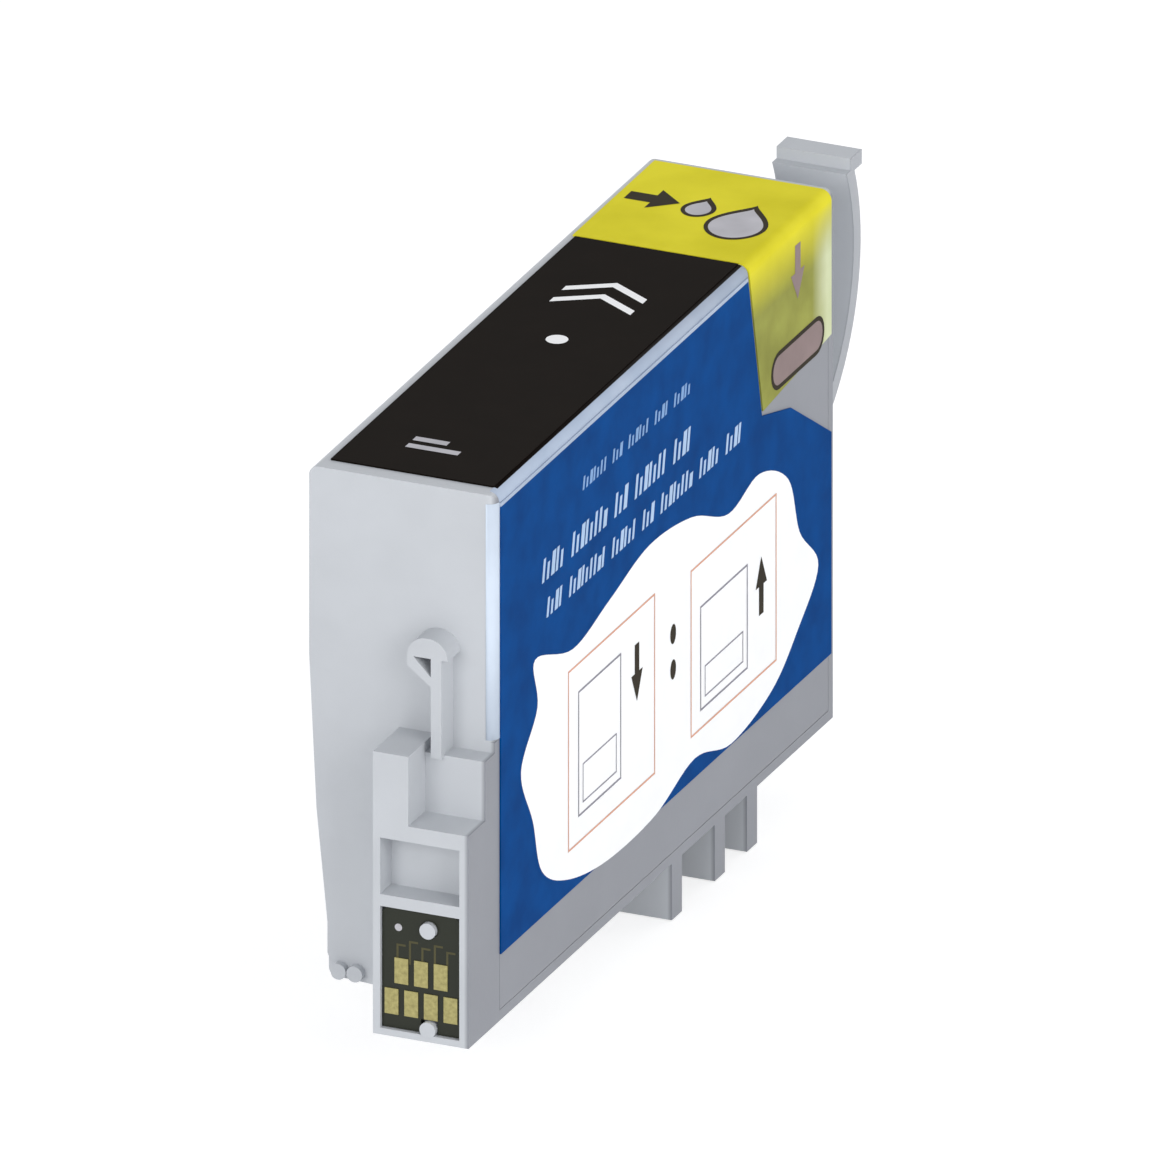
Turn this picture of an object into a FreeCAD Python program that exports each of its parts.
"""Inkjet ink cartridge: a flat moulded tank, with a chip at the front, a sprung lever and ports below.

Millimetres. X runs across the width, towards the labelled side. Y runs from the chip to the lever. Z is up.
The origin is the centre of the supply nozzle's mouth, and the cartridge stands on the plane Z = 0.
"""
import FreeCAD, Part
import math
import os
import re

import Sketcher

SIZES = {
    # Tank
    "body_width": 14.2,
    "body_length": 59.8,
    "body_height": 40.3,
    "wall": 1.5,
    "rim": 0.8,
    "rib": 1.0,
    "edge_radius": 0.7,
    "fit_gap": 0.05,
    # Supply nozzle, set back from the front wall and off the middle towards the blind side
    "nozzle_setback": 12.0,
    "nozzle_offset": 1.6,
    "nozzle_radius": 4.2,
    "nozzle_drop": 4.3,
    "bore_radius": 3.1,
    "bore_height": 9.2,
    "tower_roof": 1.2,
    "mouth_rebate_radius": 3.7,
    "mouth_rebate_depth": 0.4,
    "ink_hole_radius": 1.1,
    # Guide fins under the tank, placed from the front wall
    "fin_thick": 1.8,
    "fin_first": 31.3,
    "fin_second": 38.9,
    "fin_third": 44.6,
    "fin_inset": 1.2,
    "web_thick": 1.6,
    "web_offset": 1.0,
    # Chip block on the front wall
    "block_width": 7.3,
    "block_depth": 4.7,
    "block_height": 21.5,
    "block_side_wall": 0.55,
    "block_pillar": 0.7,
    "block_shoulder": 0.8,
    "notch_height": 5.3,
    "notch_depth": 3.0,
    "notch_pillar": 2.7,
    "lintel": 1.2,
    "window_height": 4.3,
    "window_depth": 2.0,
    # Chip
    "board_thick": 0.8,
    "board_height": 9.2,
    "board_sink": 0.3,
    "board_lift": 0.55,
    "board_corner": 0.4,
    "peg_radius": 0.6,
    "peg_proud": 0.35,
    "peg_drop": 1.3,
    "peg_offset": 0.6,
    "slot_half": 0.65,
    "slot_depth": 1.0,
    "pad_width": 1.05,
    "pad_height": 1.95,
    "pad_thick": 0.08,
    "pad_side_margin": 0.2,
    "pad_row_gap": 0.45,
    "pad_low_edge": 1.05,
    "die_width": 2.6,
    "die_height": 2.2,
    "die_thick": 0.7,
    "die_above_low_edge": 4.6,
    "die_room": 0.3,
    # Hook loop and its stem on the front wall
    "hook_proud": 2.1,
    "hook_below_top": 10.75,
    "hook_from_side": 4.25,
    "hook_radius": 1.55,
    "hook_round": 1.45,
    "hook_rim": 0.75,
    "stem_from_side": 3.2,
    "stem_width": 0.8,
    "gusset_drop": 1.4,
    # Two small knobs low on the front wall, near the narrowed corner
    "knob_radius": 0.6,
    "knob_proud": 0.6,
    "knob_from_blind": 2.45,
    "knob_pitch": 1.25,
    "knob_height": 2.3,
    # Lead-in cut at the lower front corner of the blind side
    "lead_depth": 3.5,
    "lead_low": 1.4,
    "lead_side": 1.4,
    "lead_height": 26.0,
    "lead_wall": 0.8,
    # Lever on the rear wall
    "lever_inset": 0.2,
    "lever_width": 5.7,
    "lever_thick": 1.2,
    "lever_bow": 14.5,
    "lever_reach": 5.4,
    "lever_centre_below_top": 5.8,
    "lever_neck_below_top": 0.1,
    "lever_above_top": 0.8,
    "lip_height": 1.1,
    "lip_thick": 1.9,
    "lip_overhang": 0.2,
    # Chambers and sheets
    "film_thick": 0.12,
    "cover_thick": 1.2,
    "cover_lip": 1.0,
    "deck_height": 22.4,
    "front_chamber": 18.6,
    "port_slot": 1.6,
    "port_slot_depth": 1.4,
    "vent_radius": 0.75,
    "vent_from_rear": 7.0,
    "vent_sheet_radius": 2.4,
    "vent_sheet_thick": 0.3,
    # Air channel on the blind side
    "channel_depth": 0.6,
    "channel_width": 0.9,
    "channel_pitch": 2.4,
    "channel_pairs": 3,
    "channel_length": 11.0,
    "channel_from_rear": 20.2,
    "channel_below_top": 4.2,
    "air_film_margin": 1.8,
    # Pressure valve on the blind side
    "valve_from_front": 33.0,
    "valve_above_floor": 11.6,
    "valve_radius": 6.0,
    "valve_seat_depth": 4.2,
    "valve_wall": 1.0,
    "membrane_thick": 0.4,
    "membrane_bead": 1.0,
    "membrane_core_radius": 1.7,
    "membrane_core_height": 1.0,
    "valve_cover_thick": 1.2,
    "valve_hole_radius": 0.5,
    # Supply valve, seal and springs
    "seal_low": 0.5,
    "seal_height": 2.5,
    "seal_hole_radius": 1.4,
    "seal_mouth_radius": 2.3,
    "poppet_radius": 2.5,
    "poppet_disc": 1.0,
    "poppet_stem_radius": 0.9,
    "poppet_stem": 2.6,
    "spring_radius": 1.75,
    "spring_wire": 0.18,
    "spring_pitch": 1.25,
    "membrane_spring_radius": 1.15,
    "membrane_spring_wire": 0.14,
    "membrane_spring_pitch": 0.55,
    "filter_thick": 0.3,
    "filter_height": 6.0,
    # Labels and tape
    "label_thick": 0.12,
    "label_front": 0.8,
    "label_rear": 0.5,
    "label_top": 0.8,
    "label_bottom": 5.1,
    "label_cut_gap": 0.3,
    "label_cut_slant": 2.5,
    "label_cut_depth": 12.3,
    "label_step_length": 7.6,
    "label_step_depth": 13.7,
    "label_end_depth": 18.3,
    "top_label_side": 0.7,
    "top_label_blind_side": 1.05,
    "top_label_front": 1.4,
    "tape_length": 14.5,
    "tape_rear": 0.5,
    "tape_blind_side": 0.8,
    "tape_hang": 12.0,
    "tape_slant": 2.4,
    "tape_rise": 1.2,
    "tape_gap": 0.15,
}
V = SIZES
COIL_STEPS = 14
WIRE_SIDES = 6
WORD = re.compile(r"[a-z][a-z_]*")

doc = FreeCAD.newDocument("ink_cartridge")
sheet = doc.addObject("Spreadsheet::Sheet", "sizes")
for row, (alias, value) in enumerate(SIZES.items(), 1):
    sheet.set(f"A{row}", alias)
    sheet.set(f"B{row}", str(value))
    sheet.setAlias(f"B{row}", alias)
doc.recompute()

# Planes that several pieces share, as formulas of the sheet's sizes
FLOOR = "nozzle_drop"
ROOF = "(nozzle_drop + body_height)"
FRONT = "(0 - nozzle_setback)"
REAR = "(body_length - nozzle_setback)"
SIDE = "(nozzle_offset + body_width / 2)"
BLIND = "(nozzle_offset - body_width / 2)"
COVER_FACE = f"({SIDE} - cover_thick)"
FILM_SEAT = f"({SIDE} - cover_thick - cover_lip - film_thick)"
BLOCK_BLIND = f"({SIDE} - block_width)"
BLOCK_TOP = "(nozzle_drop + block_height)"
POCKET_BLIND = f"({SIDE} - block_width + block_side_wall)"
POCKET_SIDE = f"({SIDE} - block_pillar)"
BOARD_MIDDLE = f"({SIDE} - (block_width - block_side_wall + block_pillar) / 2)"
BOARD_WIDTH = "(block_width - block_side_wall - block_pillar - 2 * fit_gap)"
PADS_IN_LONG_ROW = 4
PAD_PITCH = f"(({BOARD_WIDTH} - 2 * pad_side_margin - pad_width) / {PADS_IN_LONG_ROW - 1})"
BOARD_LOW = "(nozzle_drop + board_lift)"
BOARD_HIGH = "(nozzle_drop + board_lift + board_height)"
BOARD_FRONT = "(0 - nozzle_setback - block_depth + board_sink)"
BOARD_BACK = "(0 - nozzle_setback - block_depth + board_sink + board_thick)"
VALVE_Y = "(valve_from_front - nozzle_setback)"
VALVE_Z = "(nozzle_drop + valve_above_floor)"
VENT_Y = "(body_length - nozzle_setback - vent_from_rear)"


def formula(text):
    """The text with each size written as the sheet's alias."""
    return WORD.sub(lambda m: "sizes." + m.group() if m.group() in SIZES else m.group(), text)


def size(text):
    """The present value of a formula of the sheet's sizes."""
    return float(sheet.evalExpression(formula(text)))


def bind(thing, **properties):
    for name, text in properties.items():
        thing.setExpression(name.replace("__", "."), formula(text))


def place(thing, x="0", y="0", z="0"):
    bind(thing, Placement__Base__x=x, Placement__Base__y=y, Placement__Base__z=z)


def new_body(name):
    body = doc.addObject("PartDesign::Body", name)
    body.Label = name
    return body


def new_sketch(body, name, plane, offset="0"):
    """A sketch on one of the body's origin planes, moved along the plane's normal.

    YZ: u = Y, v = Z, normal +X. XZ: u = X, v = Z, normal -Y. XY: u = X, v = Y, normal +Z.
    """
    sketch = body.newObject("Sketcher::SketchObject", name)
    planes = {f.Role: f for f in body.Origin.OriginFeatures}
    sketch.AttachmentSupport = [(planes[plane + "_Plane"], "")]
    sketch.MapMode = "FlatFace"
    sketch.setExpression(".AttachmentOffset.Base.z", formula(offset))
    return sketch


def hold(sketch, kind, index, end, text):
    """Holds one end of a sketch element at a DistanceX or DistanceY from the sketch's origin."""
    number = sketch.addConstraint(Sketcher.Constraint(kind, -1, 1, index, end, size(text)))
    sketch.setExpression(f"Constraints[{number}]", formula(text))


def hold_radius(sketch, index, text):
    number = sketch.addConstraint(Sketcher.Constraint("Radius", index, size(text)))
    sketch.setExpression(f"Constraints[{number}]", formula(text))


def pin_point(sketch, index, end, u, v):
    """Holds one end of a sketch element at (u, v), each a formula."""
    hold(sketch, "DistanceX", index, end, u)
    hold(sketch, "DistanceY", index, end, v)


def rectangle(sketch, u_low, v_low, u_high, v_high):
    corners = [(0, 0), (1, 0), (1, 1), (0, 1)]
    vectors = [FreeCAD.Vector(a, b, 0) for a, b in corners]
    first = sketch.GeometryCount
    for i in range(4):
        sketch.addGeometry(Part.LineSegment(vectors[i], vectors[(i + 1) % 4]), False)
    for i in range(4):
        sketch.addConstraint(Sketcher.Constraint("Coincident", first + i, 2, first + (i + 1) % 4, 1))
        kind = "Horizontal" if i % 2 == 0 else "Vertical"
        sketch.addConstraint(Sketcher.Constraint(kind, first + i))
    pin_point(sketch, first, 1, u_low, v_low)
    pin_point(sketch, first + 2, 1, u_high, v_high)


def polygon(sketch, corners):
    """A closed outline through the corners, each a pair of formulas."""
    count = len(corners)
    first = sketch.GeometryCount
    turn = 2 * math.pi / count
    round_points = [FreeCAD.Vector(math.cos(turn * i), math.sin(turn * i), 0) for i in range(count)]
    for i in range(count):
        sketch.addGeometry(Part.LineSegment(round_points[i], round_points[(i + 1) % count]), False)
    for i in range(count):
        sketch.addConstraint(Sketcher.Constraint("Coincident", first + i, 2, first + (i + 1) % count, 1))
    for i, (u, v) in enumerate(corners):
        pin_point(sketch, first + i, 1, u, v)


def circle(sketch, u, v, radius):
    index = sketch.addGeometry(Part.Circle(FreeCAD.Vector(0, 0, 0), FreeCAD.Vector(0, 0, 1), 1), False)
    pin_point(sketch, index, 3, u, v)
    hold_radius(sketch, index, radius)


def feature(body, kind, name, sketch, length=None, reverse=False):
    made = body.newObject("PartDesign::" + kind, name)
    made.Profile = sketch
    made.Reversed = reverse
    if length is not None:
        bind(made, Length=length)
    sketch.Visibility = False
    return made


def pad(body, name, sketch, length, reverse=False):
    return feature(body, "Pad", name, sketch, length, reverse)


def pocket(body, name, sketch, length, reverse=False):
    return feature(body, "Pocket", name, sketch, length, reverse)


def turned(body, kind, name, corners):
    """A Revolution or Groove about the vertical axis of an outline of (radius, height) formulas."""
    sketch = new_sketch(body, name + "_section", "XZ")
    polygon(sketch, corners)
    made = feature(body, kind, name, sketch)
    made.ReferenceAxis = (sketch, ["V_Axis"])
    made.Angle = 360.0
    return made


def round_edges(body, kind, name, size, test):
    """Fillets or chamfers the edges of the body's present tip that pass the test."""
    doc.recompute()
    tip = body.Tip
    names = [f"Edge{i}" for i, edge in enumerate(tip.Shape.Edges, 1) if test(edge)]
    made = body.newObject("PartDesign::" + kind, name)
    made.Base = (tip, names)
    bind(made, **{"Radius" if kind == "Fillet" else "Size": size})
    return made


def pattern(body, name, original, sketch, axis, length, count):
    """Repeats a feature along one of its sketch's axes, over the length between the first and the last."""
    made = body.newObject("PartDesign::LinearPattern", name)
    made.Originals = [original]
    made.Direction = (sketch, [axis])
    bind(made, Length=length, Occurrences=count)
    body.Tip = made
    return made


def straight_along(edge, axis):
    start, end = edge.Vertexes[0].Point, edge.Vertexes[-1].Point
    span = end.sub(start)
    return span.Length > 1e-6 and abs(span.normalize().dot(axis)) > 0.9999


def near(value, target):
    return abs(value - target) < 1e-4


def rounded_edges(edge):
    """The tank's four long edges along Y, and the upright one at the front of the labelled side."""
    box = edge.BoundBox
    front = -V["nozzle_setback"]
    low, high = V["nozzle_drop"], V["nozzle_drop"] + V["body_height"]
    blind, side = V["nozzle_offset"] - V["body_width"] / 2, V["nozzle_offset"] + V["body_width"] / 2
    at_side = near(box.XMin, side) and near(box.XMax, side)
    at_blind = near(box.XMin, blind) and near(box.XMax, blind)
    level = near(box.ZMin, box.ZMax) and (near(box.ZMin, low) or near(box.ZMin, high))
    along = straight_along(edge, FreeCAD.Vector(0, 1, 0)) and level and near(box.YMin, front)
    upright = straight_along(edge, FreeCAD.Vector(0, 0, 1)) and at_side and near(box.YMax, front)
    return along and (at_side or at_blind) or upright and near(box.ZMax, high)


def tank_shell(body):
    """The outer box with the chip block on its front wall."""
    side = new_sketch(body, "side_profile", "YZ", BLIND)
    rectangle(side, FRONT, FLOOR, REAR, ROOF)
    pad(body, "outer_box", side, "body_width")
    face = new_sketch(body, "block_face", "XZ", "nozzle_setback")
    rectangle(face, BLOCK_BLIND, FLOOR, SIDE, BLOCK_TOP)
    pad(body, "chip_block", face, "block_depth")
    round_edges(body, "Fillet", "outside_radius", "edge_radius", rounded_edges)


def chambers(body):
    """The seat of the side cover, and the ink chambers that the inner film closes."""
    seat = new_sketch(body, "cover_seat_outline", "YZ", SIDE)
    rectangle(seat, f"{FRONT} + rim", f"{FLOOR} + rim", f"{REAR} - rim", f"{ROOF} - rim")
    pocket(body, "cover_seat", seat, "cover_thick + cover_lip + film_thick")
    deck_low = f"{FLOOR} + deck_height"
    deck_high = f"{FLOOR} + deck_height + rib"
    plan = new_sketch(body, "chamber_outlines", "YZ", FILM_SEAT)
    rectangle(plan, f"{FRONT} + lead_depth + wall", deck_high, f"{REAR} - wall", f"{ROOF} - wall")
    rectangle(plan, f"{FRONT} + front_chamber + rib", f"{FLOOR} + wall", f"{REAR} - wall", deck_low)
    pocket(body, "ink_chambers", plan, f"{FILM_SEAT} - {BLIND} - wall")
    front = new_sketch(body, "front_outlines", "YZ", FILM_SEAT)
    polygon(front, [
        (f"{FRONT} + wall", f"{FLOOR} + lead_low + wall"),
        (f"{FRONT} + lead_depth + wall", f"{FLOOR} + lead_low + wall"),
        (f"{FRONT} + lead_depth + wall", f"{FLOOR} + wall"),
        (f"{FRONT} + front_chamber", f"{FLOOR} + wall"),
        (f"{FRONT} + front_chamber", deck_low),
        (f"{FRONT} + wall", deck_low),
    ])
    rectangle(front, f"{FRONT} + wall", deck_high, f"{FRONT} + lead_depth + wall", f"{ROOF} - wall")
    pocket(body, "front_chambers", front, f"{FILM_SEAT} - {BLIND} - lead_side - lead_wall")
    slots = new_sketch(body, "rib_passages", "YZ", FILM_SEAT)
    rear = f"{REAR} - wall"
    rectangle(slots, f"{rear} - port_slot", f"{deck_low} - rib", rear, f"{deck_high} + rib")
    middle = f"{FRONT} + front_chamber"
    floor = f"{FLOOR} + wall"
    rectangle(slots, f"{middle} - rib", floor, f"{middle} + 2 * rib", f"{floor} + port_slot")
    pocket(body, "passages", slots, "port_slot_depth")


def lead_in(body):
    """The cut that narrows the lower front corner of the blind side, so that the tank slides in easily."""
    outline = new_sketch(body, "lead_outline", "XZ", "nozzle_setback + 1")
    polygon(outline, [
        (f"{BLIND} - 1", f"{FLOOR} - 1"),
        (BLOCK_BLIND, f"{FLOOR} - 1"),
        (BLOCK_BLIND, f"{FLOOR} + lead_low"),
        (f"{BLIND} + 1.5 * lead_side", f"{FLOOR} + 1.2 * lead_low"),
        (f"{BLIND} + lead_side", f"{FLOOR} + 0.13 * lead_height"),
        (f"{BLIND} + lead_side", f"{FLOOR} + 0.22 * lead_height"),
        (f"{BLIND} + 0.4 * lead_side", f"{FLOOR} + 0.55 * lead_height"),
        (BLIND, f"{FLOOR} + lead_height"),
        (f"{BLIND} - 1", f"{FLOOR} + lead_height"),
    ])
    pocket(body, "lead_in", outline, "lead_depth + 1")


def supply_port(body):
    """The nozzle below the floor and its tower inside, bored for the seal, the valve and its spring."""
    top = "bore_height + tower_roof"
    corners = [("0", "0"), ("nozzle_radius", "0"), ("nozzle_radius", top), ("0", top)]
    turned(body, "Revolution", "nozzle", corners)
    rebate = "mouth_rebate_depth"
    turned(body, "Groove", "bore", [
        ("0", "0 - 1"),
        ("mouth_rebate_radius", "0 - 1"),
        ("mouth_rebate_radius", rebate),
        ("bore_radius", rebate),
        ("bore_radius", "bore_height"),
        ("ink_hole_radius", "bore_height"),
        ("ink_hole_radius", f"{top} + 1"),
        ("0", f"{top} + 1"),
    ])


def guide_fins(body):
    """Three cross fins on a web, which steer the cartridge into its slot."""
    plan = new_sketch(body, "fin_plan", "XY", FLOOR)
    for start in ("fin_first", "fin_second", "fin_third"):
        front = f"{FRONT} + {start}"
        rectangle(plan, f"{BLIND} + fin_inset", front, SIDE, f"{front} + fin_thick")
    pad(body, "fins", plan, "nozzle_drop", reverse=True)
    web = new_sketch(body, "web_plan", "XY", FLOOR)
    rectangle(
        web,
        "0 - web_offset - web_thick",
        f"{FRONT} + fin_first + fin_thick / 2",
        "0 - web_offset",
        f"{FRONT} + fin_third + fin_thick / 2",
    )
    pad(body, "web", web, "nozzle_drop", reverse=True)


def chip_seat(body):
    """The notch at the block's upper corner, the window and the seat of the chip with its two pegs."""
    block_front = "nozzle_setback + block_depth"
    notch = new_sketch(body, "notch_outline", "XZ", block_front)
    notch_blind = f"{BLOCK_BLIND} + notch_pillar"
    notch_floor = f"{BLOCK_TOP} - notch_height"
    rectangle(notch, notch_blind, notch_floor, f"{SIDE} + 1", f"{BLOCK_TOP} + 1")
    pocket(body, "notch", notch, "notch_depth")
    shoulder = new_sketch(body, "shoulder_outline", "XZ", block_front)
    rectangle(shoulder, notch_blind, f"{BLOCK_TOP} - block_shoulder", f"{SIDE} + 1", f"{BLOCK_TOP} + 1")
    pocket(body, "shoulder", shoulder, "block_depth")
    window = new_sketch(body, "window_outline", "XZ", block_front)
    window_top = f"{notch_floor} - lintel"
    rectangle(window, POCKET_BLIND, f"{window_top} - window_height", POCKET_SIDE, window_top)
    pocket(body, "window", window, "window_depth")
    seat = new_sketch(body, "chip_seat_outline", "XZ", block_front)
    rectangle(seat, POCKET_BLIND, f"{BOARD_LOW} - fit_gap", POCKET_SIDE, f"{BOARD_HIGH} + fit_gap")
    pocket(body, "chip_seat", seat, "board_sink + board_thick")
    cell = new_sketch(body, "die_cell_outline", "XZ", block_front)
    die_low = f"{BOARD_LOW} + die_above_low_edge"
    rectangle(
        cell,
        f"{BOARD_MIDDLE} - die_width / 2 - die_room",
        f"{die_low} - die_room",
        f"{BOARD_MIDDLE} + die_width / 2 + die_room",
        f"{die_low} + die_height + die_room",
    )
    pocket(body, "die_cell", cell, "board_sink + board_thick + die_thick + die_room")
    pegs = new_sketch(body, "peg_centres", "XZ", "nozzle_setback + block_depth - board_sink - board_thick")
    circle(pegs, f"{BOARD_MIDDLE} + peg_offset", f"{BOARD_HIGH} - peg_drop", "peg_radius")
    low = f"{BOARD_LOW} + slot_depth - peg_radius - fit_gap"
    circle(pegs, f"{BOARD_MIDDLE} + peg_offset", low, "peg_radius")
    pad(body, "pegs", pegs, "board_thick + peg_proud")


def front_hook(body):
    """The small loop on the front wall, its slanted gusset, and the stem that runs down to the chip block."""
    wall = new_sketch(body, "hook_outline", "XZ", "nozzle_setback")
    top = f"{ROOF} - hook_below_top"
    middle = f"{SIDE} - hook_from_side"
    stem_side = f"{SIDE} - stem_from_side"
    stem_blind = f"{SIDE} - stem_from_side - stem_width"
    under = f"{top} - 2 * hook_rim"
    polygon(wall, [
        (f"{middle} - hook_radius", top),
        (f"{middle} + hook_radius", top),
        (f"{middle} + hook_radius", under),
        (stem_side, under),
        (stem_side, f"{BLOCK_TOP} - block_shoulder - 0.2"),
        (stem_blind, f"{BLOCK_TOP} - block_shoulder - 0.2"),
        (stem_blind, f"{under} - gusset_drop - hook_rim"),
        (f"{middle} - hook_radius", f"{under} - hook_rim"),
    ])
    polygon(wall, [
        (f"{middle} - hook_radius + 0.6 * hook_rim", under),
        (stem_blind, under),
        (stem_blind, f"{under} - gusset_drop"),
    ])
    pad(body, "hook", wall, "hook_proud")
    round_edges(body, "Fillet", "hook_head", "hook_round", hook_corners)


def hook_corners(edge):
    """The two upper corners of the hook's head, where they run out from the front wall."""
    box = edge.BoundBox
    top = size(f"{ROOF} - hook_below_top")
    return straight_along(edge, FreeCAD.Vector(0, 1, 0)) and near(box.ZMin, top) and near(box.ZMax, top)


def front_knobs(body):
    """Two small knobs side by side, low on the front wall."""
    face = new_sketch(body, "knob_outline", "XZ", "nozzle_setback")
    for step in ("0", "knob_pitch"):
        circle(face, f"{BLIND} + knob_from_blind + {step}", f"{FLOOR} + knob_height", "knob_radius")
    pad(body, "knobs", face, "knob_proud")


def lever(body):
    """The bowed spring tongue that rises from the rear wall, and the lip at its top."""
    centre_y = f"{REAR} + lever_reach - lever_bow"
    centre_z = f"{ROOF} - lever_centre_below_top"
    neck = f"{ROOF} - lever_neck_below_top"
    root = f"{REAR} - wall / 2"
    lowest = f"{SIDE} - lever_inset - lever_width"
    profile = new_sketch(body, "lever_profile", "YZ", lowest)
    centre = FreeCAD.Vector(size(centre_y), size(centre_z), 0)
    arcs = []
    for radius in (V["lever_bow"], V["lever_bow"] - V["lever_thick"]):
        start = -math.acos((size(root) - centre.x) / radius)
        end = math.asin((size(neck) - centre.y) / radius)
        arcs.append(sketch_arc(profile, Part.Circle(centre, FreeCAD.Vector(0, 0, 1), radius), start, end))
    outer, inner = arcs
    ends = {}
    for name, end in (("root", 1), ("neck", 2)):
        points = [profile.getPoint(outer, end), profile.getPoint(inner, end)]
        ends[name] = profile.addGeometry(Part.LineSegment(*points), False)
        profile.addConstraint(Sketcher.Constraint("Coincident", ends[name], 1, outer, end))
        profile.addConstraint(Sketcher.Constraint("Coincident", ends[name], 2, inner, end))
    profile.addConstraint(Sketcher.Constraint("Coincident", outer, 3, inner, 3))
    pin_point(profile, outer, 3, centre_y, centre_z)
    for arc, text in ((outer, "lever_bow"), (inner, "lever_bow - lever_thick")):
        hold_radius(profile, arc, text)
    for line, direction, kind, text in (
        ("root", "Vertical", "DistanceX", root),
        ("neck", "Horizontal", "DistanceY", neck),
    ):
        profile.addConstraint(Sketcher.Constraint(direction, ends[line]))
        hold(profile, kind, ends[line], 1, text)
    pad(body, "lever_tongue", profile, "lever_width")
    lip = new_sketch(body, "lip_profile", "YZ", lowest)
    lip_rear = f"{REAR} + lever_reach + lip_overhang"
    lip_top = f"{ROOF} + lever_above_top"
    rectangle(lip, f"{lip_rear} - lip_thick", f"{lip_top} - lip_height", lip_rear, lip_top)
    pad(body, "lever_lip", lip, "lever_width")


def sketch_arc(sketch, round_line, start, end):
    return sketch.addGeometry(Part.ArcOfCircle(round_line, start, end), False)


def air_channel(body):
    """The winding groove on the blind side that lets air in slowly: slots, and the turns that link them."""
    first_y = f"{REAR} - channel_from_rear"
    top = f"{ROOF} - channel_below_top"
    low = f"{ROOF} - channel_below_top - channel_length"
    slot = new_sketch(body, "channel_slot", "YZ", BLIND)
    rectangle(slot, first_y, low, f"{first_y} + channel_width", top)
    first = pocket(body, "slot", slot, "channel_depth", reverse=True)
    reach = "channel_pitch * (2 * channel_pairs - 1)"
    pattern(body, "slots", first, slot, "H_Axis", reach, "2 * channel_pairs")
    for name, high, offset, count, length in (
        ("upper", top, "0", "channel_pairs", "2 * channel_pitch * (channel_pairs - 1)"),
        (
            "lower", f"{low} + channel_width", "channel_pitch", "channel_pairs - 1",
            "2 * channel_pitch * (channel_pairs - 2)",
        ),
    ):
        turn = new_sketch(body, name + "_turn", "YZ", BLIND)
        start = f"{first_y} + {offset}"
        rectangle(turn, start, f"{high} - channel_width", f"{start} + channel_pitch + channel_width", high)
        made = pocket(body, name + "_link", turn, "channel_depth", reverse=True)
        pattern(body, name + "_links", made, turn, "H_Axis", length, count)


def pressure_valve_seat(body):
    """The round cell for the membrane valve: a cup in the lower chamber that opens on the blind side."""
    cup = new_sketch(body, "cup_outline", "YZ", f"{BLIND} + wall / 2")
    circle(cup, VALVE_Y, VALVE_Z, "valve_radius + valve_wall")
    pad(body, "cup", cup, "valve_seat_depth + valve_wall - wall / 2")
    cell = new_sketch(body, "cell_outline", "YZ", BLIND)
    circle(cell, VALVE_Y, VALVE_Z, "valve_radius")
    pocket(body, "cell", cell, "valve_seat_depth", reverse=True)
    inlet = new_sketch(body, "inlet_outline", "YZ", BLIND)
    circle(inlet, VALVE_Y, f"{VALVE_Z} + valve_radius / 2", "valve_hole_radius")
    pocket(body, "inlet", inlet, "valve_seat_depth + valve_wall + 1", reverse=True)


def vent(body):
    """The air vent in the roof, which the pull tape keeps closed until use."""
    hole = new_sketch(body, "vent_outline", "XY", ROOF)
    circle(hole, "nozzle_offset", VENT_Y, "vent_radius")
    pocket(body, "vent", hole, "wall + 1")


def make_tank_case():
    body = new_body("tank_case")
    tank_shell(body)
    chambers(body)
    supply_port(body)
    guide_fins(body)
    chip_seat(body)
    front_hook(body)
    front_knobs(body)
    lead_in(body)
    lever(body)
    pressure_valve_seat(body)
    air_channel(body)
    vent(body)
    return body


def make_side_cover():
    """The flat cover set into the open side, with a lip round its back that holds the film's edge."""
    body = new_body("side_cover")
    gap = "(rim + fit_gap)"
    outline = new_sketch(body, "cover_outline", "YZ", COVER_FACE)
    rectangle(outline, f"{FRONT} + {gap}", f"{FLOOR} + {gap}", f"{REAR} - {gap}", f"{ROOF} - {gap}")
    pad(body, "cover_plate", outline, "cover_thick")
    lip = new_sketch(body, "cover_lip_outline", "YZ", COVER_FACE)
    rectangle(lip, f"{FRONT} + {gap}", f"{FLOOR} + {gap}", f"{REAR} - {gap}", f"{ROOF} - {gap}")
    rectangle(lip, f"{FRONT} + wall", f"{FLOOR} + wall", f"{REAR} - wall", f"{ROOF} - wall")
    pad(body, "cover_edge", lip, "cover_lip", reverse=True)
    return body


def make_box(name, x_low, y_low, z_low, x_size, y_size, z_size):
    box = doc.addObject("Part::Box", name)
    box.Label = name
    bind(box, Length=x_size, Width=y_size, Height=z_size)
    place(box, x_low, y_low, z_low)
    return box


def make_disc(name, radius, height, x="0", y="0", z="0", across=False):
    """A round disc that stands on Z, or with across on X."""
    disc = doc.addObject("Part::Cylinder", name)
    disc.Label = name
    bind(disc, Radius=radius, Height=height)
    if across:
        disc.Placement = FreeCAD.Placement(FreeCAD.Vector(), FreeCAD.Rotation(FreeCAD.Vector(0, 1, 0), 90))
    place(disc, x, y, z)
    return disc


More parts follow.
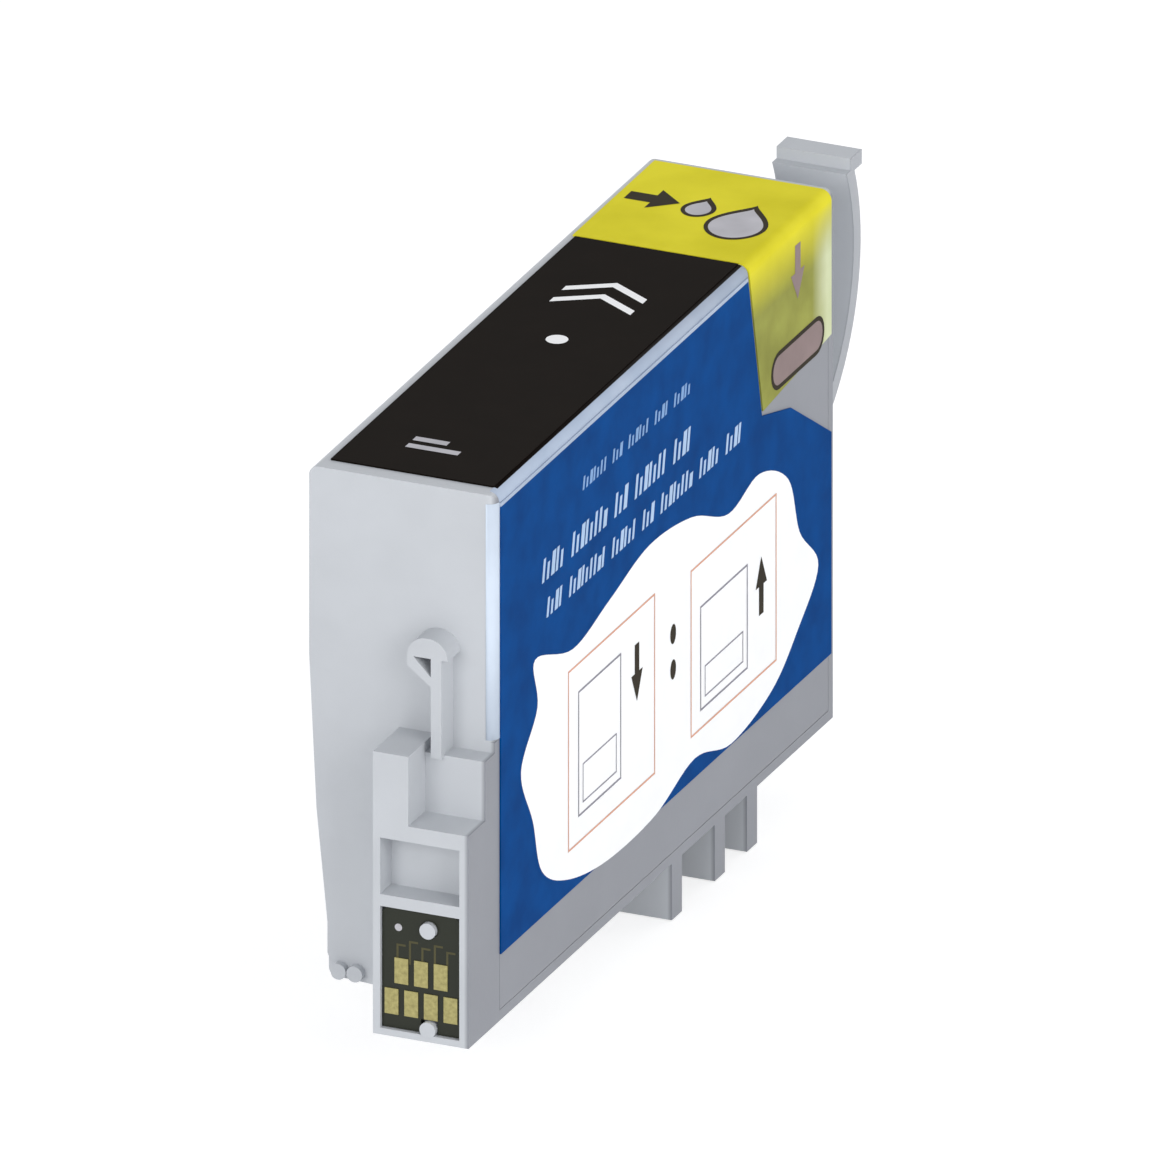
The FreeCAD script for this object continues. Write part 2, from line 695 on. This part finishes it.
def make_films():
    gap = "(rim + fit_gap)"
    edge = f"2 * {gap}"
    make_box(
        "tank_film", FILM_SEAT, f"{FRONT} + {gap}", f"{FLOOR} + {gap}",
        "film_thick", f"body_length - {edge}", f"body_height - {edge}",
    )
    margin = "air_film_margin"
    make_box(
        "air_channel_film",
        f"{BLIND} - film_thick",
        f"{REAR} - channel_from_rear - {margin}",
        f"{ROOF} - channel_below_top - channel_length - {margin}",
        "film_thick",
        f"channel_pitch * (2 * channel_pairs - 1) + channel_width + 2 * {margin}",
        f"channel_length + 2 * {margin}",
    )
    radius = "mouth_rebate_radius - fit_gap"
    make_disc("port_film", radius, "film_thick", z="mouth_rebate_depth - film_thick")
    make_disc(
        "vent_sheet", "vent_sheet_radius", "vent_sheet_thick",
        x="nozzle_offset", y=VENT_Y, z=f"{ROOF} - wall - vent_sheet_thick",
    )


def make_supply_seal():
    """The rubber ring that grips the ink needle: a funnel mouth below and a flat seat above."""
    body = new_body("supply_seal")
    outer = "bore_radius - fit_gap"
    top = "seal_low + seal_height"
    turned(body, "Revolution", "seal", [
        ("seal_mouth_radius", "seal_low"),
        (outer, "seal_low"),
        (outer, top),
        ("seal_hole_radius", top),
        ("seal_hole_radius", "seal_low + seal_height * 0.45"),
    ])
    return body


def make_supply_valve():
    """The poppet: a disc that rests on the seal, and a stem that centres the spring."""
    body = new_body("supply_valve")
    seat = "seal_low + seal_height"
    disc_top = f"{seat} + poppet_disc"
    stem_top = f"{disc_top} + poppet_stem"
    turned(body, "Revolution", "poppet", [
        ("0", seat),
        ("poppet_radius", seat),
        ("poppet_radius", disc_top),
        ("poppet_stem_radius", disc_top),
        ("poppet_stem_radius", f"{stem_top} - 0.3"),
        ("poppet_stem_radius - 0.3", stem_top),
        ("0", stem_top),
    ])
    return body


def make_spring(name, radius, wire, pitch, height, x="0", y="0", z="0", across=False):
    """A coil of wire along Z, or with across along X, with flat facets so that it stays light.

    The height is that of the wire's centre line. A swept round wire would give over 100,000 triangles.
    """
    rise = size(height)
    turns = rise / size(pitch)
    coil_radius = size(radius)
    wire_radius = size(wire)
    count = round(turns * COIL_STEPS)
    path = []
    for i in range(count + 1):
        turn = 2 * math.pi * turns * i / count
        across_turn = FreeCAD.Vector(math.cos(turn), math.sin(turn), 0) * coil_radius
        path.append(across_turn + FreeCAD.Vector(0, 0, rise * i / count))
    corners = []
    for i in range(WIRE_SIDES + 1):
        turn = 2 * math.pi * i / WIRE_SIDES
        corners.append(path[0] + FreeCAD.Vector(math.cos(turn), 0, math.sin(turn)) * wire_radius)
    pipe = Part.BRepOffsetAPI.MakePipeShell(Part.makePolygon(path))
    pipe.setTransitionMode(1)
    pipe.add(Part.makePolygon(corners))
    pipe.build()
    pipe.makeSolid()
    coil = doc.addObject("Part::Feature", name)
    coil.Label = name
    coil.Shape = pipe.shape()
    if across:
        coil.Placement = FreeCAD.Placement(FreeCAD.Vector(), FreeCAD.Rotation(FreeCAD.Vector(0, 1, 0), 90))
    place(coil, x, y, z)
    return coil


def make_supply_spring():
    seat = "(seal_low + seal_height + poppet_disc)"
    make_spring(
        "supply_valve_spring", "spring_radius", "spring_wire", "spring_pitch",
        f"bore_height - {seat} - 2 * (spring_wire + fit_gap)", z=f"{seat} + spring_wire + fit_gap",
    )


def make_pressure_valve():
    """The membrane with its bead and core, the spring behind it and the plate that closes the cell."""
    cover_x = f"{BLIND} + fit_gap"
    bead_x = f"{cover_x} + valve_cover_thick"
    make_valve_plate(cover_x)
    body = new_body("valve_membrane")
    outer = "valve_radius - fit_gap"
    sheet_low = "(membrane_bead - membrane_thick) / 2"
    turned(body, "Revolution", "membrane", [
        ("0", sheet_low),
        ("valve_radius - 1", sheet_low),
        ("valve_radius - 1", "0"),
        (outer, "0"),
        (outer, "membrane_bead"),
        ("valve_radius - 1", "membrane_bead"),
        ("valve_radius - 1", f"{sheet_low} + membrane_thick"),
        ("membrane_core_radius", f"{sheet_low} + membrane_thick"),
        ("membrane_core_radius", f"{sheet_low} + membrane_thick + membrane_core_height / 2"),
        ("0", f"{sheet_low} + membrane_thick + membrane_core_height / 2"),
    ])
    body.Placement = FreeCAD.Placement(FreeCAD.Vector(), FreeCAD.Rotation(FreeCAD.Vector(0, 1, 0), 90))
    place(body, bead_x, VALVE_Y, VALVE_Z)
    core_top = f"({bead_x} + {sheet_low} + membrane_thick + membrane_core_height / 2)"
    room = f"({BLIND} + valve_seat_depth - {core_top})"
    make_spring(
        "membrane_spring", "membrane_spring_radius", "membrane_spring_wire", "membrane_spring_pitch",
        f"{room} - 2 * (membrane_spring_wire + fit_gap)",
        x=f"{core_top} + membrane_spring_wire + fit_gap", y=VALVE_Y, z=VALVE_Z, across=True,
    )


def make_valve_plate(x_low):
    """The round plate over the membrane, with its ink holes."""
    body = new_body("valve_cover")
    outline = new_sketch(body, "plate_outline", "YZ", x_low)
    circle(outline, VALVE_Y, VALVE_Z, "valve_radius - fit_gap")
    circle(outline, VALVE_Y, VALVE_Z, "valve_hole_radius")
    for sign in ("+", "-"):
        circle(outline, f"{VALVE_Y} {sign} valve_radius / 2", VALVE_Z, "valve_hole_radius")
    pad(body, "plate", outline, "valve_cover_thick")
    return body


def make_filter():
    """The fine mesh that stands across the front chamber's passage."""
    make_box(
        "ink_filter",
        f"{BLIND} + lead_side + lead_wall + fit_gap",
        f"{FRONT} + front_chamber - filter_thick",
        f"{FLOOR} + wall",
        f"{FILM_SEAT} - {BLIND} - lead_side - lead_wall - 2 * fit_gap",
        "filter_thick",
        "filter_height",
    )


def make_chip():
    """The circuit board with its peg hole and slot, seven contact pads in front and the die behind."""
    board = new_body("chip_board")
    back = "nozzle_setback + block_depth - board_sink - board_thick"
    outline = new_sketch(board, "board_outline", "XZ", back)
    left, right = f"{POCKET_BLIND} + fit_gap", f"{POCKET_SIDE} - fit_gap"
    slot_left = f"{BOARD_MIDDLE} + peg_offset - slot_half"
    slot_right = f"{BOARD_MIDDLE} + peg_offset + slot_half"
    polygon(outline, [
        (left, BOARD_LOW),
        (slot_left, BOARD_LOW),
        (slot_left, f"{BOARD_LOW} + slot_depth"),
        (slot_right, f"{BOARD_LOW} + slot_depth"),
        (slot_right, BOARD_LOW),
        (right, BOARD_LOW),
        (right, f"{BOARD_HIGH} - board_corner"),
        (f"{right} - board_corner", BOARD_HIGH),
        (f"{left} + board_corner", BOARD_HIGH),
        (left, f"{BOARD_HIGH} - board_corner"),
    ])
    circle(outline, f"{BOARD_MIDDLE} + peg_offset", f"{BOARD_HIGH} - peg_drop", "peg_radius + fit_gap")
    pad(board, "board", outline, "board_thick")
    pads = []
    for row, count in enumerate((PADS_IN_LONG_ROW, PADS_IN_LONG_ROW - 1)):
        for i in range(count):
            pads.append(make_box(
                f"contact_{row}_{i}",
                f"{BOARD_MIDDLE} + {i - (count - 1) / 2} * {PAD_PITCH} - pad_width / 2",
                f"{BOARD_FRONT} - pad_thick",
                f"{BOARD_LOW} + pad_low_edge + {row} * (pad_height + pad_row_gap)",
                "pad_width",
                "pad_thick",
                "pad_height",
            ))
    contacts = doc.addObject("Part::Compound", "chip_contacts")
    contacts.Label = "chip_contacts"
    contacts.Links = pads
    make_box(
        "chip_die", f"{BOARD_MIDDLE} - die_width / 2", BOARD_BACK, f"{BOARD_LOW} + die_above_low_edge",
        "die_width", "die_thick", "die_height",
    )


def make_labels():
    make_box(
        "top_label",
        f"{BLIND} + top_label_blind_side",
        f"{FRONT} + top_label_front",
        ROOF,
        "body_width - top_label_side - top_label_blind_side",
        "body_length - tape_rear - tape_length - tape_gap - top_label_front",
        "label_thick",
    )
    label = new_body("side_label")
    outline = new_sketch(label, "label_outline", "YZ", SIDE)
    front, rear = f"{FRONT} + label_front", f"{REAR} - label_rear"
    low, high = f"{FLOOR} + label_bottom", f"{ROOF} - label_top"
    cut = f"{REAR} - tape_rear - tape_length - label_cut_gap"
    polygon(outline, [
        (front, low),
        (rear, low),
        (rear, f"{ROOF} - label_end_depth"),
        (f"{REAR} - label_step_length", f"{ROOF} - label_step_depth"),
        (f"{cut} + label_cut_slant", f"{ROOF} - label_cut_depth"),
        (cut, high),
        (front, high),
    ])
    pad(label, "label", outline, "label_thick")


def make_pull_tape():
    """The yellow tape: flat on the roof and bent down the labelled side, with a slanted free edge."""
    body = new_body("pull_tape")
    section = new_sketch(body, "tape_section", "XZ", f"0 - ({REAR} - tape_rear)")
    bend = "edge_radius"
    thick = "label_thick"
    start = f"{BLIND} + tape_blind_side"
    low = f"{ROOF} - tape_hang"
    polygon(section, [
        (start, ROOF),
        (SIDE, ROOF),
        (SIDE, low),
        (f"{SIDE} + {thick}", low),
        (f"{SIDE} + {thick}", f"{ROOF} + {thick}"),
        (start, f"{ROOF} + {thick}"),
    ])
    pad(body, "bent_strip", section, "tape_length")
    for name, radius, x, z in (
        ("inner_bend", bend, SIDE, ROOF),
        ("outer_bend", f"{bend} + {thick}", f"{SIDE} + {thick}", f"{ROOF} + {thick}"),
    ):
        round_edges(body, "Fillet", name, radius, lambda e: near(e.BoundBox.XMin, size(x)) and near(
            e.BoundBox.XMax, size(x)) and near(e.BoundBox.ZMin, size(z)) and near(e.BoundBox.ZMax, size(z)))
    trim = new_sketch(body, "free_edge_trim", "YZ", f"{SIDE} + 1")
    front = f"{REAR} - tape_rear - tape_length"
    polygon(trim, [
        (f"{front} - 1", f"{ROOF} - {bend}"),
        (front, f"{ROOF} - {bend}"),
        (f"{front} + tape_slant", low),
        (f"{REAR} - tape_rear + 0.5", f"{low} + tape_rise"),
        (f"{REAR} - tape_rear + 0.5", f"{low} - 1"),
        (f"{front} - 1", f"{low} - 1"),
    ])
    pocket(body, "free_edge", trim, "label_thick + 1.5")
    return body


NODES = [
    "tank_case", "side_cover", "tank_film", "air_channel_film", "port_film", "vent_sheet", "supply_seal",
    "supply_valve", "supply_valve_spring", "valve_membrane", "membrane_spring", "valve_cover", "ink_filter",
    "chip_board", "chip_contacts", "chip_die", "top_label", "side_label", "pull_tape",
]


def check_document():
    for thing in doc.Objects:
        if {"Invalid", "Error"} & set(thing.State):
            raise RuntimeError(f"{thing.Name} failed: {thing.State}")
    for name in NODES:
        shape = doc.getObject(name).Shape
        if shape.isNull() or not shape.isValid() or not shape.Solids:
            raise RuntimeError(f"{name} has no valid solid")


def main():
    make_tank_case()
    make_side_cover()
    make_films()
    make_supply_seal()
    make_supply_valve()
    make_supply_spring()
    make_pressure_valve()
    make_filter()
    make_chip()
    make_labels()
    make_pull_tape()
    doc.recompute()
    check_document()
    os.makedirs("parts", exist_ok=True)
    for name in NODES:
        shape = doc.getObject(name).Shape
        shape.exportStep(f"parts/{name}.step")
        print(f"{name}: {len(shape.Solids)} solids, {shape.Volume:.2f} mm3")


main()
